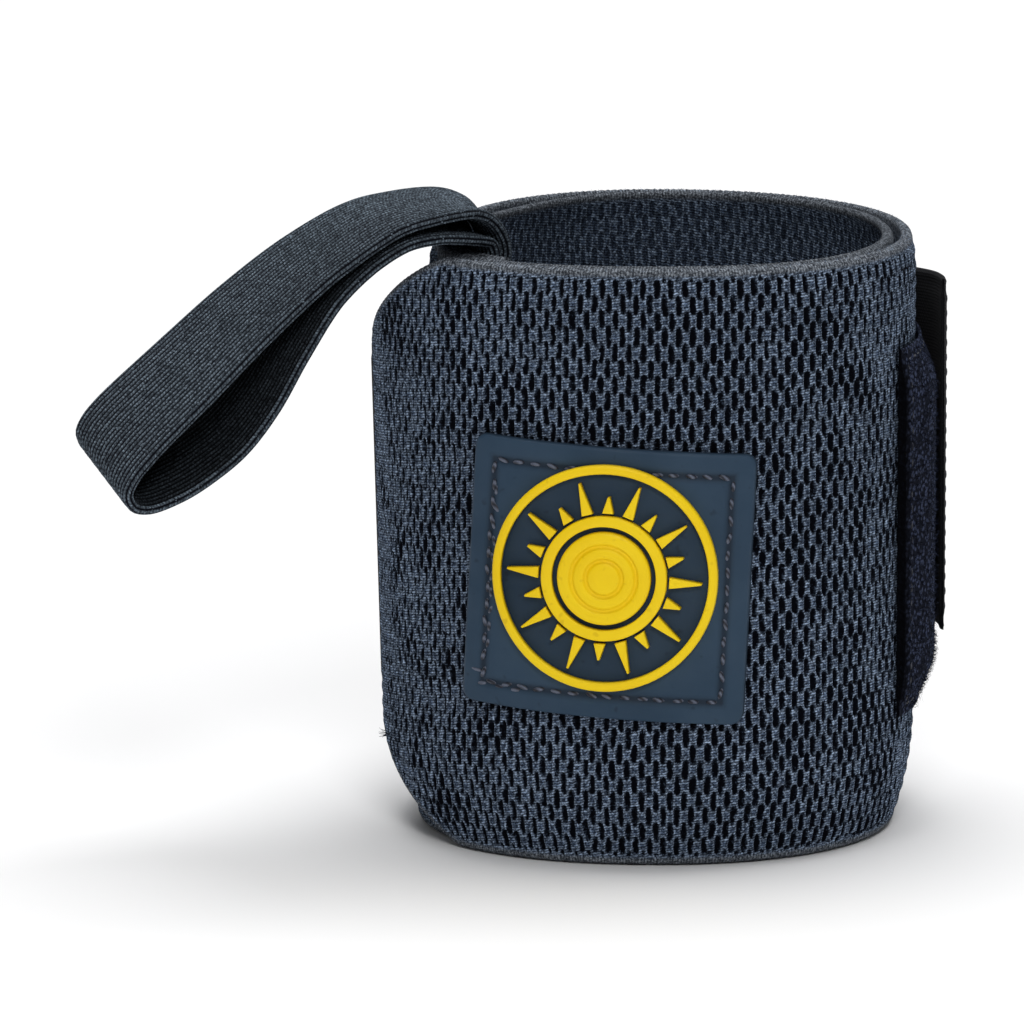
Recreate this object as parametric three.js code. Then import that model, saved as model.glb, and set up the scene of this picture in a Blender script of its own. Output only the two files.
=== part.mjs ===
// Wrist wrap: an elastic band rolled on itself, closed by a hook strap, with a thumb loop and a sewn label.
// Units are millimetres and +Z is up. The roll stands on its lower edge, with its front at -Y.
// Angles round the roll are degrees from the front, positive to the right as seen from the front.
// The band runs clockwise seen from above, from its inner end by the thumb loop to its tapered outer tail.
import * as THREE from "three";
import { mergeVertices } from "three/addons/utils/BufferGeometryUtils.js";

// Clearances
const seatGap = 0.3;
const turnGap = 0.3;

// Elastic band
const bandHeight = 80;
const bandThickness = 1.6;
const rollRadius = 34.7;
const wholeTurns = 2;
const startAngle = -42;
const tailAngle = -96;
const tailTaper = 28;
const tailTaperPower = 1.15;
const liftSpan = 90;
const squareness = 2.12;
const footCurl = 2.8;
const footCurlReach = 15;
const rimCurl = 0.7;
const rimCurlReach = 5;
const rimLean = 5;

// Where the roll is pressed in or stands off its neighbour, each row a smooth swell round one angle.
// centre and reach are degrees; foot and rim are radial moves of the two edges, as shares of rimLean.
const swells = [
  { centre: -105, reach: 75, firstTurn: 0, lastTurn: 1, foot: 0, rim: -1 },
  { centre: 0, reach: 60, firstTurn: 0, lastTurn: 2, foot: 0, rim: -0.4 },
  { centre: -120, reach: 90, firstTurn: 2, lastTurn: 2, foot: 0, rim: 0.55 },
  { centre: -138, reach: 42, firstTurn: 0, lastTurn: 0, foot: -0.15, rim: -0.5 },
  { centre: 90, reach: 85, firstTurn: 0, lastTurn: 0, foot: -0.14, rim: -0.14 },
];

// Pile patch, sewn on the outer face of the second turn
const pileWidth = 50;
const pileThickness = 1.6;
const pileLength = 70;
const pileEndAngle = 64;
const pileRise = 1.5;

// Hook strap, from the tail round the back and on to the pile patch
const strapWidth = 48;
const strapThickness = 1.9;
const strapEndAngle = 86;
const strapClimb = 9.8;
const strapRampReach = 60;

// Thumb loop, its two legs sewn inside the inner turn
const loopWidth = 19.5;
const loopThickness = 1.5;
const loopAngle = -67;
const loopReach = 50.5;
const loopDrop = 28.2;
const loopRise = 5.7;
const loopTilt = 17;
const legDepth = 32;

// How the loop's two legs turn over the rim: shares of the way to their next seat, and of the rise.
const crestOut = [0.4, 0.7];
const crestRise = [0.38, 0.76, 0.97];
const rimRise = [2.1, 1.6, 1.3];
const returnOut = 2;
const turnFlat = 0.2;

// The part of the thumb loop that hangs outside, from the crest of its upper leg round its fold and back.
// out is a share of loopReach from the inner turn, drop a share of loopDrop below the rim,
// flat goes from 0, bent with the roll, to 1, flat, and tilt is a share of loopTilt.
const hangingRows = [
  { out: 0.165, drop: -0.182, flat: 0.55, tilt: 0.02 },
  { out: 0.253, drop: -0.142, flat: 0.8, tilt: 0.08 },
  { out: 0.42, drop: 0.024, flat: 1, tilt: 0.3 },
  { out: 0.596, drop: 0.253, flat: 1, tilt: 0.55 },
  { out: 0.768, drop: 0.51, flat: 1, tilt: 0.78 },
  { out: 0.943, drop: 0.777, flat: 1, tilt: 0.96 },
  { out: 0.985, drop: 0.862, flat: 1, tilt: 1 },
  { out: 1, drop: 0.926, flat: 1, tilt: 1 },
  { out: 0.984, drop: 0.983, flat: 1, tilt: 1 },
  { out: 0.94, drop: 1, flat: 1, tilt: 1 },
  { out: 0.845, drop: 0.955, flat: 1, tilt: 0.95 },
  { out: 0.757, drop: 0.878, flat: 1, tilt: 0.85 },
  { out: 0.675, drop: 0.778, flat: 1, tilt: 0.75 },
  { out: 0.59, drop: 0.61, flat: 1, tilt: 0.62 },
  { out: 0.506, drop: 0.38, flat: 1, tilt: 0.48 },
  { out: 0.41, drop: 0.15, flat: 1, tilt: 0.32 },
  { out: 0.313, drop: 0.005, flat: 0.9, tilt: 0.18 },
  { out: 0.226, drop: -0.074, flat: 0.7, tilt: 0.06 },
  { out: 0.139, drop: -0.092, flat: 0.45, tilt: 0 },
];

// Label patch and the raised sun on it
const labelWidth = 38;
const labelHeight = 36;
const labelThickness = 1.6;
const labelAngle = -11.4;
const labelRise = -1.4;
const labelTurn = 3.3;
const labelCornerCut = 0.35;
const reliefHeight = 0.9;
const emblemRise = 0.9;
const emblemRight = -0.2;
const borderRadius = 15.1;
const borderWidth = 1.2;
const rayCount = 20;
const rayTipRadius = 13;
const rayShortRadius = 10.9;
const rayRootRadius = 8.6;
const sunInnerRadius = 6.9;
const hubRadius = 6.2;

// How finely the curved faces are cut
const bandStep = 5;
const bandRows = 8;
const bandRowEasing = 0.6;
const strapRows = 4;
const loopSteps = 110;
const loopColumns = 4;
const labelColumns = 14;
const labelRows = 8;
const emblemSegments = 48;
const probe = 1e-3;
const mergeReach = 1e-5;

// Sizes worked out from the ones above
const degree = Math.PI / 180;
const layerPitch = bandThickness + turnGap;
const endSweep = 360 * wholeTurns + startAngle - tailAngle;
const tailDrop = (bandHeight - strapWidth) / 2;

const { clamp, lerp, smoothstep, euclideanModulo } = THREE.MathUtils;

// The sweep from the band's inner end at which it passes an angle, on the turn that starts at the front.
const sweepAt = (angle, turn) => startAngle - angle + 360 * turn;

// Degrees that a length takes up at a radius.
const arcDegrees = (length, radius) => length / radius / degree;

// A smooth bump of height 1 round its centre, both in degrees.
const swellShare = (angle, centre, reach) => {
  const away = Math.abs(euclideanModulo(angle - centre + 180, 360) - 180);
  return away < reach ? Math.cos((away / reach) * (Math.PI / 2)) ** 2 : 0;
};

// Layers outside the outer full turn: each pass of the left front quarter lifts the band by one.
const liftedLayers = (sweep) => {
  let layers = -wholeTurns;
  for (let turn = 0; turn <= wholeTurns; turn += 1) {
    const began = sweepAt(0, turn);
    layers += smoothstep(sweep, began, began + liftSpan);
  }
  return layers;
};

// How far the edges curl in towards the axis at a height.
const edgeCurl = (height) => {
  const foot = clamp(1 - height / footCurlReach, 0, 1);
  const rim = clamp(1 - (bandHeight - height) / rimCurlReach, 0, 1);
  return footCurl * foot ** 2 + rimCurl * rim ** 2;
};

// Radius of the band's middle surface.
const planRadius = (sweep, height) => {
  const angle = startAngle - sweep;
  const turn = Math.floor((sweep - startAngle) / 360);
  const sine = Math.abs(Math.sin(angle * degree));
  const cosine = Math.abs(Math.cos(angle * degree));
  const square = (sine ** squareness + cosine ** squareness) ** (-1 / squareness);
  let radius = (rollRadius - bandThickness / 2) * square + liftedLayers(sweep) * layerPitch;
  for (const swell of swells) {
    if (turn >= swell.firstTurn && turn <= swell.lastTurn) {
      const move = lerp(swell.foot, swell.rim, clamp(height / bandHeight, 0, 1)) * rimLean;
      radius += move * swellShare(angle, swell.centre, swell.reach);
    }
  }
  return radius - edgeCurl(height);
};

// A point at a sweep along the band, a height, and an offset out from the middle surface.
const onRoll = (sweep, height, offset) => {
  const angle = (startAngle - sweep) * degree;
  const radius = planRadius(sweep, height) + offset;
  return new THREE.Vector3(radius * Math.sin(angle), -radius * Math.cos(angle), height);
};

// A closed solid with only positions, each vertex of a geometry moved by a function of its place.
const reshaped = (geometry, place) => {
  geometry.deleteAttribute("normal");
  geometry.deleteAttribute("uv");
  const solid = mergeVertices(geometry, mergeReach);
  const position = solid.getAttribute("position");
  const vertex = new THREE.Vector3();
  for (let index = 0; index < position.count; index += 1) {
    vertex.fromBufferAttribute(position, index);
    const moved = place(vertex.x, vertex.y, vertex.z);
    position.setXYZ(index, moved.x, moved.y, moved.z);
  }
  solid.computeVertexNormals();
  return solid;
};

// A slab one unit each way, cut into cells, its corners at 0 and 1 along X and Z and at -0.5 and 0.5 along Y.
const unitSlab = (columns, rows) => new THREE.BoxGeometry(1, 1, 1, columns, 1, rows).translate(0.5, 0, 0.5);

// Elastic band: two turns and a tail whose corners are cut back to the strap's width
const tailCut = (sweep) => {
  const taperSweep = arcDegrees(tailTaper, rollRadius + layerPitch);
  return tailDrop * clamp(1 - (endSweep - sweep) / taperSweep, 0, 1) ** tailTaperPower;
};

const easedRow = (share) => share - (bandRowEasing * Math.sin(2 * Math.PI * share)) / (2 * Math.PI);

const bandGeometry = reshaped(unitSlab(Math.ceil(endSweep / bandStep), bandRows), (along, across, up) => {
  const sweep = along * endSweep;
  const cut = tailCut(sweep);
  const height = lerp(cut, bandHeight - cut, easedRow(up));
  return onRoll(sweep, height, across * bandThickness);
});

// Pile patch on the second turn
const pileEndSweep = sweepAt(pileEndAngle, wholeTurns);
const pileStartSweep = pileEndSweep - arcDegrees(pileLength, rollRadius + pileThickness / 2);
const pileOffset = (bandThickness + pileThickness) / 2 + seatGap;

const pileGeometry = reshaped(
  unitSlab(Math.ceil((pileEndSweep - pileStartSweep) / bandStep), strapRows),
  (along, across, up) => {
    const height = bandHeight / 2 + pileRise + (up - 0.5) * pileWidth;
    return onRoll(lerp(pileStartSweep, pileEndSweep, along), height, pileOffset + across * pileThickness);
  },
);

// Hook strap: its inner face runs on from the tail's and rises over the pile patch
const strapStartSweep = endSweep + arcDegrees(seatGap, rollRadius);
const strapEndSweep = sweepAt(strapEndAngle, wholeTurns + 1);
const strapTailOffset = (strapThickness - bandThickness) / 2;
const strapPileOffset = pileOffset + (pileThickness + strapThickness) / 2 + seatGap - layerPitch;
const rampEndSweep = pileStartSweep + 360 - arcDegrees(strapThickness, rollRadius);

const strapGeometry = reshaped(
  unitSlab(Math.ceil((strapEndSweep - strapStartSweep) / bandStep), strapRows),
  (along, across, up) => {
    const sweep = lerp(strapStartSweep, strapEndSweep, along);
    const ramp = smoothstep(sweep, rampEndSweep - strapRampReach, rampEndSweep);
    const offset = lerp(strapTailOffset, strapPileOffset, ramp) + across * strapThickness;
    return onRoll(sweep, bandHeight / 2 + strapClimb * along + (up - 0.5) * strapWidth, offset);
  },
);

// Thumb loop: both legs lie inside the inner turn, the lower leg against it, the upper leg on the lower
const lowerSeat = -(bandThickness + loopThickness) / 2 - seatGap;
const upperSeat = lowerSeat - loopThickness - seatGap;
const rimSeat = seatGap + loopThickness / 2;
const loopSweep = sweepAt(loopAngle, 0);
const loopRootRadius = planRadius(loopSweep, bandHeight);

const wrapped = (out, lift) => ({ out, height: bandHeight + lift, flat: 0, tilt: 0 });

const loopStations = [
  wrapped(upperSeat, -legDepth),
  wrapped(upperSeat, -legDepth / 2),
  wrapped(upperSeat, 0),
  wrapped(lerp(upperSeat, lowerSeat, crestOut[0]), loopRise * crestRise[0]),
  wrapped(lerp(upperSeat, 0, crestOut[1]), loopRise * crestRise[1]),
  { ...wrapped(loopThickness, loopRise * crestRise[2]), flat: turnFlat },
  ...hangingRows.map((row) => ({
    out: row.out * loopReach,
    height: bandHeight - row.drop * loopDrop,
    flat: row.flat,
    tilt: row.tilt,
  })),
  { ...wrapped(loopThickness * returnOut, rimSeat * rimRise[0]), flat: turnFlat },
  wrapped(0, rimSeat * rimRise[1]),
  wrapped(-(bandThickness + seatGap) / 2, rimSeat * rimRise[2]),
  wrapped(lowerSeat, -rimSeat),
  wrapped(lowerSeat, -legDepth / 2),
  wrapped(lowerSeat, -legDepth),
];

const loopRoute = new THREE.CatmullRomCurve3(
  loopStations.map(({ out, height }) => new THREE.Vector3(out, 0, height)),
  false,
  "centripetal",
);

// A point of the loop's middle surface: along is its share of the route, across a length from the centre.
const loopPoint = (along, across) => {
  const { x: out, z: height } = loopRoute.getPoint(clamp(along, 0, 1));
  const place = clamp(along, 0, 1) * (loopStations.length - 1);
  const row = Math.min(Math.floor(place), loopStations.length - 2);
  const flat = lerp(loopStations[row].flat, loopStations[row + 1].flat, place - row);
  const tilt = lerp(loopStations[row].tilt, loopStations[row + 1].tilt, place - row) * loopTilt * degree;
  const bentSweep = loopSweep - arcDegrees(across, loopRootRadius);
  const bent = onRoll(bentSweep, Math.min(height, bandHeight), out).setZ(height);
  const outward = new THREE.Vector3(Math.sin(loopAngle * degree), -Math.cos(loopAngle * degree), 0);
  const sideways = new THREE.Vector3(Math.cos(loopAngle * degree), Math.sin(loopAngle * degree), 0);
  const straight = outward.multiplyScalar(loopRootRadius + out).setZ(height - across * Math.sin(tilt));
  straight.addScaledVector(sideways, across * Math.cos(tilt));
  return bent.lerp(straight, flat);
};

const loopGeometry = reshaped(
  new THREE.BoxGeometry(1, 1, 1, loopSteps, loopColumns, 1).translate(0.5, 0, 0),
  (along, side, depth) => {
    const across = side * loopWidth;
    const alongStep = loopPoint(along + probe, across).sub(loopPoint(along - probe, across));
    const acrossStep = loopPoint(along, across + probe).sub(loopPoint(along, across - probe));
    const normal = alongStep.cross(acrossStep).normalize();
    return loopPoint(along, across).addScaledVector(normal, depth * loopThickness);
  },
);

// Label patch and its raised sun, drawn flat with right and up from the label's middle, then laid on the band
const labelSweep = sweepAt(labelAngle, wholeTurns);
const labelMiddle = bandHeight / 2 + labelRise;
const labelSeat = bandThickness / 2 + seatGap;
const reliefSeat = labelSeat + labelThickness + seatGap;

const onLabel = (right, up, offset) => {
  const cosine = Math.cos(labelTurn * degree);
  const sine = Math.sin(labelTurn * degree);
  const turnedRight = right * cosine + up * sine;
  const turnedUp = up * cosine - right * sine;
  const radius = planRadius(labelSweep, labelMiddle) + offset;
  return onRoll(labelSweep - arcDegrees(turnedRight, radius), labelMiddle + turnedUp, offset);
};

const labelGeometry = reshaped(
  new THREE.BoxGeometry(1, 1, 1, labelColumns, labelRows, 1).translate(0, 0, 0.5),
  (right, up, out) => {
    const corner = Math.min(Math.abs(right), Math.abs(up)) + probe > 0.5 ? labelCornerCut : 0;
    const side = right * labelWidth - Math.sign(right) * corner;
    const rise = up * labelHeight - Math.sign(up) * corner;
    return onLabel(side, rise, labelSeat + out * labelThickness);
  },
);

// A raised ring between two radii, the outer one a function of the step round it.
const raisedRing = (innerRadius, outerRadiusAt, segments) => {
  const [inner, outer] = [1, 2];
  const corners = [[inner, 0], [outer, 0], [outer, 1], [inner, 1], [inner, 0]];
  const ring = new THREE.LatheGeometry(corners.map(([x, y]) => new THREE.Vector2(x, y)), segments);
  return reshaped(ring, (x, y, z) => {
    const round = Math.atan2(x, z);
    const step = Math.round(euclideanModulo(round, 2 * Math.PI) / ((2 * Math.PI) / segments)) % segments;
    const radius = Math.hypot(x, z) > (inner + outer) / 2 ? outerRadiusAt(step) : innerRadius;
    const right = emblemRight + radius * Math.cos(round);
    const up = emblemRise + radius * Math.sin(round);
    return onLabel(right, up, reliefSeat + y * reliefHeight);
  });
};

const borderGeometry = raisedRing(borderRadius - borderWidth, () => borderRadius, emblemSegments);

const rayRadiusAt = (step) => {
  if (step % 2 === 1) return rayRootRadius;
  return step % 4 === 0 ? rayTipRadius : rayShortRadius;
};
const sunGeometry = raisedRing(sunInnerRadius, rayRadiusAt, rayCount * 2);

const hubGeometry = reshaped(
  new THREE.CylinderGeometry(hubRadius, hubRadius, 1, emblemSegments / 2, 1).translate(0, 0.5, 0),
  (x, y, z) => onLabel(emblemRight + z, emblemRise + x, reliefSeat + y * reliefHeight),
);

// Finishes
const finish = (color, roughness) => new THREE.MeshStandardMaterial({ color, roughness, metalness: 0 });
const elasticCloth = finish("#2c343f", 0.95);
const loopCloth = finish("#2a2d36", 0.95);
const pileCloth = finish("#161c2c", 1);
const hookCloth = finish("#06060c", 0.8);
const slateRubber = finish("#34465a", 0.6);
const yellowRubber = finish("#d9ba26", 0.5);

const pieces = [
  ["elastic_band", bandGeometry, elasticCloth],
  ["thumb_loop", loopGeometry, loopCloth],
  ["pile_patch", pileGeometry, pileCloth],
  ["hook_strap", strapGeometry, hookCloth],
  ["label_patch", labelGeometry, slateRubber],
  ["label_border", borderGeometry, yellowRubber],
  ["label_sun", sunGeometry, yellowRubber],
  ["label_hub", hubGeometry, yellowRubber],
];

const roll = new THREE.Group();
for (const [name, geometry, material] of pieces) {
  const mesh = new THREE.Mesh(geometry, material);
  mesh.name = name;
  roll.add(mesh);
}

// The origin is the middle of the whole wrap's box, at the level of the lower edge.
const boxMiddle = new THREE.Box3().setFromObject(roll).getCenter(new THREE.Vector3());
roll.position.set(-boxMiddle.x, -boxMiddle.y, 0);

const wristWrap = new THREE.Group();
wristWrap.add(roll);

export default wristWrap;
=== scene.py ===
import math

import bmesh
import bpy
import numpy as np
from mathutils import Matrix, Vector


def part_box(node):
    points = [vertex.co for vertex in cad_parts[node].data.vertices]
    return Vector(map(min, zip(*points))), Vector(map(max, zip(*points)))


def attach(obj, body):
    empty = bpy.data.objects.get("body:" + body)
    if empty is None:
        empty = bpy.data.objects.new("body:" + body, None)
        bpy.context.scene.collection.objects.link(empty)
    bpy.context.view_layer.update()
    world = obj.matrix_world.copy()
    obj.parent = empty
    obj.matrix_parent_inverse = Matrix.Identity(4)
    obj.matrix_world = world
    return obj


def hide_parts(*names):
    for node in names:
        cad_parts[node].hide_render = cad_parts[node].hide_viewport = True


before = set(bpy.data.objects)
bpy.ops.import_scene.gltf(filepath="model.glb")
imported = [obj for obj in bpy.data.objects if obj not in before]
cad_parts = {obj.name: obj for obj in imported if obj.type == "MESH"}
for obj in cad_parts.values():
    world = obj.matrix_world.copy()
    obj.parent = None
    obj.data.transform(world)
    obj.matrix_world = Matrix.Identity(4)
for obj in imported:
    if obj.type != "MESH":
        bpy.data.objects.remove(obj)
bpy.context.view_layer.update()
print("wrist wrap: frame loaded")

# Sizes are millimetres and degrees until a piece is placed in metres.
# Angles run round the roll from its front, positive to the right.
degree = math.pi / 180
chance = np.random.default_rng(41)

roll = dict(
    height=80, thickness=1.6, gap=0.3, radius=34.7, turns=2, startAngle=-42, tailAngle=-96,
    taper=28, taperPower=1.15, liftSpan=90, squareness=2.12,
    footCurl=2.8, footReach=15, rimCurl=0.7, rimReach=5, lean=5,
)
# Each row: centre, reach, first turn, last turn, and the radial moves of the foot and the rim.
swells = (
    (-105, 75, 0, 1, 0, -1),
    (0, 60, 0, 2, 0, -0.4),
    (-120, 90, 2, 2, 0, 0.55),
    (-138, 42, 0, 0, -0.15, -0.5),
    (90, 85, 0, 0, -0.14, -0.14),
)
pitch = roll["thickness"] + roll["gap"]
endSweep = 360 * roll["turns"] + roll["startAngle"] - roll["tailAngle"]


def smoothStep(value, low, high):
    share = np.clip((value - low) / (high - low), 0, 1)
    return share * share * (3 - 2 * share)


def mixed(low, high, share):
    return low + (high - low) * share


def sweepAt(angle, turn):
    return roll["startAngle"] - angle + 360 * turn


def arcDegrees(length, radius):
    return length / radius / degree


def planRadius(sweep, height):  # radius of the band's middle surface
    angle = roll["startAngle"] - sweep
    turn = np.floor((sweep - roll["startAngle"]) / 360)
    power = roll["squareness"]
    sine, cosine = np.abs(np.sin(angle * degree)), np.abs(np.cos(angle * degree))
    square = (sine**power + cosine**power) ** (-1 / power)
    layers = -roll["turns"] + sum(
        smoothStep(sweep, sweepAt(0, turns), sweepAt(0, turns) + roll["liftSpan"])
        for turns in range(roll["turns"] + 1)
    )
    radius = (roll["radius"] - roll["thickness"] / 2) * square + layers * pitch
    share = np.clip(height / roll["height"], 0, 1)
    for centre, reach, first, last, foot, rim in swells:
        away = np.abs((angle - centre + 180) % 360 - 180)
        swell = np.where(away < reach, np.cos(np.minimum(away / reach, 1) * math.pi / 2) ** 2, 0)
        held = (turn >= first) & (turn <= last)
        radius = radius + np.where(held, mixed(foot, rim, share) * roll["lean"] * swell, 0)
    foot = np.clip(1 - height / roll["footReach"], 0, 1)
    rim = np.clip(1 - (roll["height"] - height) / roll["rimReach"], 0, 1)
    return radius - roll["footCurl"] * foot**2 - roll["rimCurl"] * rim**2


def onRoll(sweep, height, offset):
    angle = (roll["startAngle"] - sweep) * degree
    radius = planRadius(sweep, height) + offset
    return np.stack([radius * np.sin(angle), -radius * np.cos(angle), height + 0 * radius], -1)


def lengthTable(points):  # running length along a line of points
    steps = np.linalg.norm(np.diff(points, axis=0), axis=1)
    return np.concatenate([[0], np.cumsum(steps)])


# The band's length at each sweep, and the place of the roll's axis in the frame
strapReach = 190
sweepTable = np.linspace(0, endSweep + strapReach, 3860)
arcTable = lengthTable(onRoll(sweepTable, np.full_like(sweepTable, roll["height"] / 2), 0))


def arcOf(sweep):
    return np.interp(sweep, sweepTable, arcTable)


def sweepOf(arc):
    return np.interp(arc, arcTable, sweepTable)


skinColumns, skinRows = np.arange(0, endSweep + 0.1, 0.5), np.linspace(0, roll["height"], 17)
skinSweeps, skinHeights = np.meshgrid(skinColumns, skinRows)
outerSkin = onRoll(skinSweeps, skinHeights, roll["thickness"] / 2)
low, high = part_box("elastic_band")
skinLow, skinHigh = outerSkin.reshape(-1, 3).min(0), outerSkin.reshape(-1, 3).max(0)
axis = [(low[i] + high[i]) * 500 - (skinLow[i] + skinHigh[i]) / 2 for i in (0, 1)] + [0]


def readPoints(mesh):
    points = np.empty(len(mesh.vertices) * 3)
    mesh.vertices.foreach_get("co", points)
    return points.reshape(-1, 3)


def addPiece(mesh, material, replaced=(), smooth=True):
    piece = bpy.data.objects.new(mesh.name, mesh)
    bpy.context.scene.collection.objects.link(piece)
    mesh.materials.append(material)
    mesh.polygons.foreach_set("use_smooth", [smooth] * len(mesh.polygons))
    mesh.update()
    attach(piece, "root")
    if replaced:
        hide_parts(*replaced)
    return piece


def dress(mesh, points, uv, marks):  # places the vertices and writes the cloth's own map and attributes
    mesh.vertices.foreach_set("co", ((points + axis) / 1000).ravel())
    corners = np.empty(len(mesh.loops), np.int32)
    mesh.loops.foreach_get("vertex_index", corners)
    layer = mesh.uv_layers.new(name="cloth")
    layer.uv.foreach_set("vector", uv[corners].astype(np.float32).ravel())
    for name, values in marks.items():
        mesh.attributes.new(name, "FLOAT", "POINT").data.foreach_set("value", values.astype(np.float32))


weldReach = 1e-7


def closeMesh(mesh):  # welds the seam of a wrapped grid and closes its two ends
    bm = bmesh.new()
    bm.from_mesh(mesh)
    bmesh.ops.remove_doubles(bm, verts=bm.verts, dist=weldReach)
    rims = [edge for edge in bm.edges if edge.is_boundary]
    caps = bmesh.ops.holes_fill(bm, edges=rims, sides=0)["faces"]
    for edge in rims:
        edge.smooth = False
    bmesh.ops.triangulate(bm, faces=caps)
    bmesh.ops.recalc_face_normals(bm, faces=bm.faces)
    bm.to_mesh(mesh)
    bm.free()


def wrappedGrid(name, columns, section, shape):  # its rows go once round a flat strip's cross-section
    rows = len(section["up"]) - 1
    bm = bmesh.new()
    bmesh.ops.create_grid(bm, x_segments=columns, y_segments=rows, size=0.5)
    mesh = bpy.data.meshes.new(name)
    bm.to_mesh(mesh)
    bm.free()
    share = readPoints(mesh)[:, :2] + 0.5
    row = np.rint(share[:, 1] * rows).astype(int)
    points, uv, marks = shape(share[:, 0], *(section[key][row] for key in ("up", "out", "side", "around")))
    dress(mesh, points, uv, {"edge": section["edge"][row], **marks})
    closeMesh(mesh)
    return mesh


def stripSection(width, thickness, outerRows, innerRows, edgeRows=6):
    # Up the outer face, over the top edge, down the inner face and under the lower edge
    half = thickness / 2
    turn = np.linspace(0, math.pi, edgeRows + 1)[1:-1]
    outer = np.linspace(half, width - half, outerRows + 1)
    inner = np.linspace(width - half, half, innerRows + 1)
    bulge, fall = half * np.sin(turn), half * np.cos(turn)
    up = np.concatenate([outer, width - half + bulge, inner, half - bulge, outer[:1]])
    out = np.concatenate([0 * outer + half, fall, 0 * inner - half, -fall, [half]])
    side = np.concatenate([0 * outer + 1, 0 * turn, 0 * inner - 1, 0 * turn, [1]])
    edge = 1 - np.clip((np.minimum(up, width - up) - half * 0.6) / 1.1, 0, 1)
    around = lengthTable(np.stack([up, out], -1))
    return dict(up=up, out=out, side=side, edge=edge, around=around)


copySpacing = 4  # wider than any template


def copies(name, template, count, place):  # copies of a small shape, each moved by a function of its number
    mesh = bpy.data.meshes.new(name)
    template.to_mesh(mesh)
    template.free()
    single = bpy.data.objects.new(name, mesh)
    bpy.context.scene.collection.objects.link(single)
    array = single.modifiers.new("copies", "ARRAY")
    array.count = count
    array.use_relative_offset = False
    array.use_constant_offset = True
    array.constant_offset_displace = (copySpacing, 0, 0)
    filled = bpy.data.meshes.new_from_object(single.evaluated_get(bpy.context.evaluated_depsgraph_get()))
    bpy.data.objects.remove(single)
    bpy.data.meshes.remove(mesh)
    filled.name = name
    local = readPoints(filled)
    number = np.rint(local[:, 0] / copySpacing).astype(int)
    local[:, 0] -= copySpacing * number
    filled.vertices.foreach_set("co", ((place(number, local) + axis) / 1000).ravel())
    return filled


# Materials
def linear(*colour):  # red, green and blue from 0 to 255, as a screen shows them
    return tuple(((c / 255 + 0.055) / 1.055) ** 2.4 if c > 10 else c / 255 / 12.92 for c in colour) + (1,)


class Finish:  # one procedural material, with short names for the nodes that it is built from
    def __init__(self, name, roughness=0.9, sheen=0.0, sheenTint=(1, 1, 1, 1), specular=0.3):
        self.material = bpy.data.materials.new(name)
        self.material.use_nodes = True
        self.tree = self.material.node_tree
        self.shader = self.tree.nodes["Principled BSDF"]
        self.shader.inputs["Roughness"].default_value = roughness
        self.shader.inputs["Sheen Weight"].default_value = sheen
        self.shader.inputs["Sheen Roughness"].default_value = 0.5
        self.shader.inputs["Sheen Tint"].default_value = sheenTint
        self.shader.inputs["Specular IOR Level"].default_value = specular

    def node(self, kind, inputs=(), output=0, **settings):
        node = self.tree.nodes.new("ShaderNode" + kind)
        for name, value in settings.items():
            setattr(node, name, value)
        for key, value in dict(inputs).items():
            if isinstance(value, bpy.types.NodeSocket):
                self.tree.links.new(value, node.inputs[key])
            else:
                node.inputs[key].default_value = value
        return node.outputs[output]

    def sum(self, operation, *values):
        return self.node("Math", enumerate(values), operation=operation)

    def step(self, value, low, high, least=0.0, most=1.0):
        inputs = {"Value": value, "From Min": low, "From Max": high, "To Min": least, "To Max": most}
        return self.node("MapRange", inputs, interpolation_type="SMOOTHSTEP")

    def blend(self, share, first, second, how="MIX"):
        inputs = {0: share, 6: first, 7: second}
        return self.node("Mix", inputs, output=2, data_type="RGBA", blend_type=how)

    def shaded(self, colour, share):  # the colour times a grey share
        grey = self.node("CombineColor", {0: share, 1: share, 2: share})
        return self.blend(1.0, colour, grey, "MULTIPLY")

    def cloth(self):
        uv = self.node("UVMap", output=0, uv_map="cloth")
        return [self.node("SeparateXYZ", {0: uv}, output=i) for i in (0, 1)]

    def place(self):
        return self.node("TexCoord", output=3)

    def mark(self, name):
        return self.node("Attribute", output=2, attribute_name=name)

    def noise(self, scale, detail=2.0, rough=0.5):
        inputs = {"Vector": self.place(), "Scale": scale, "Detail": detail, "Roughness": rough}
        return self.node("TexNoise", inputs)

    def wave(self, value, length, shift=0.0):  # 0 to 1, once in each length
        turned = self.sum("MULTIPLY_ADD", value, 2 * math.pi / length, shift)
        return self.sum("MULTIPLY_ADD", self.sum("SINE", turned), 0.5, 0.5)

    def bump(self, height, distance, strength):
        return self.node("Bump", {"Height": height, "Distance": distance / 1000, "Strength": strength})

    def finish(self, colour, normal=None, roughness=None):
        for key, socket in (("Base Color", colour), ("Normal", normal), ("Roughness", roughness)):
            if socket is not None:
                self.tree.links.new(socket, self.shader.inputs[key])
        return self.material


# Woven elastic: staggered slots between ribs that fine cross yarns bind. Its colours hold painted light: the
# near-black slot and the dark groove are painted shade in the slots and between the yarns, the bright strand
# is a painted highlight round each slot, and the lighter selvedge is painted light on the band's edges.
weave = dict(
    pitch=1.85, row=2.14, rimBand=1.4, slotWide=0.36, slotTall=0.6, depth=0.55, tickLength=0.36,
    drift=1.1, lean=0.95, tear=5.6, tickSlant=0.22, tickShift=2.4, rimRound=1.6, rimYarn=0.42, rimCord=0.93,
    strandHighlight=(184, 206, 236), rib=(124, 145, 176), groove=(6, 9, 20), slot=(1, 2, 9), selvedge=(158, 166, 176),
)


farReach = 9.0  # beyond the edge of any slot, where the reach is 1


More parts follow.
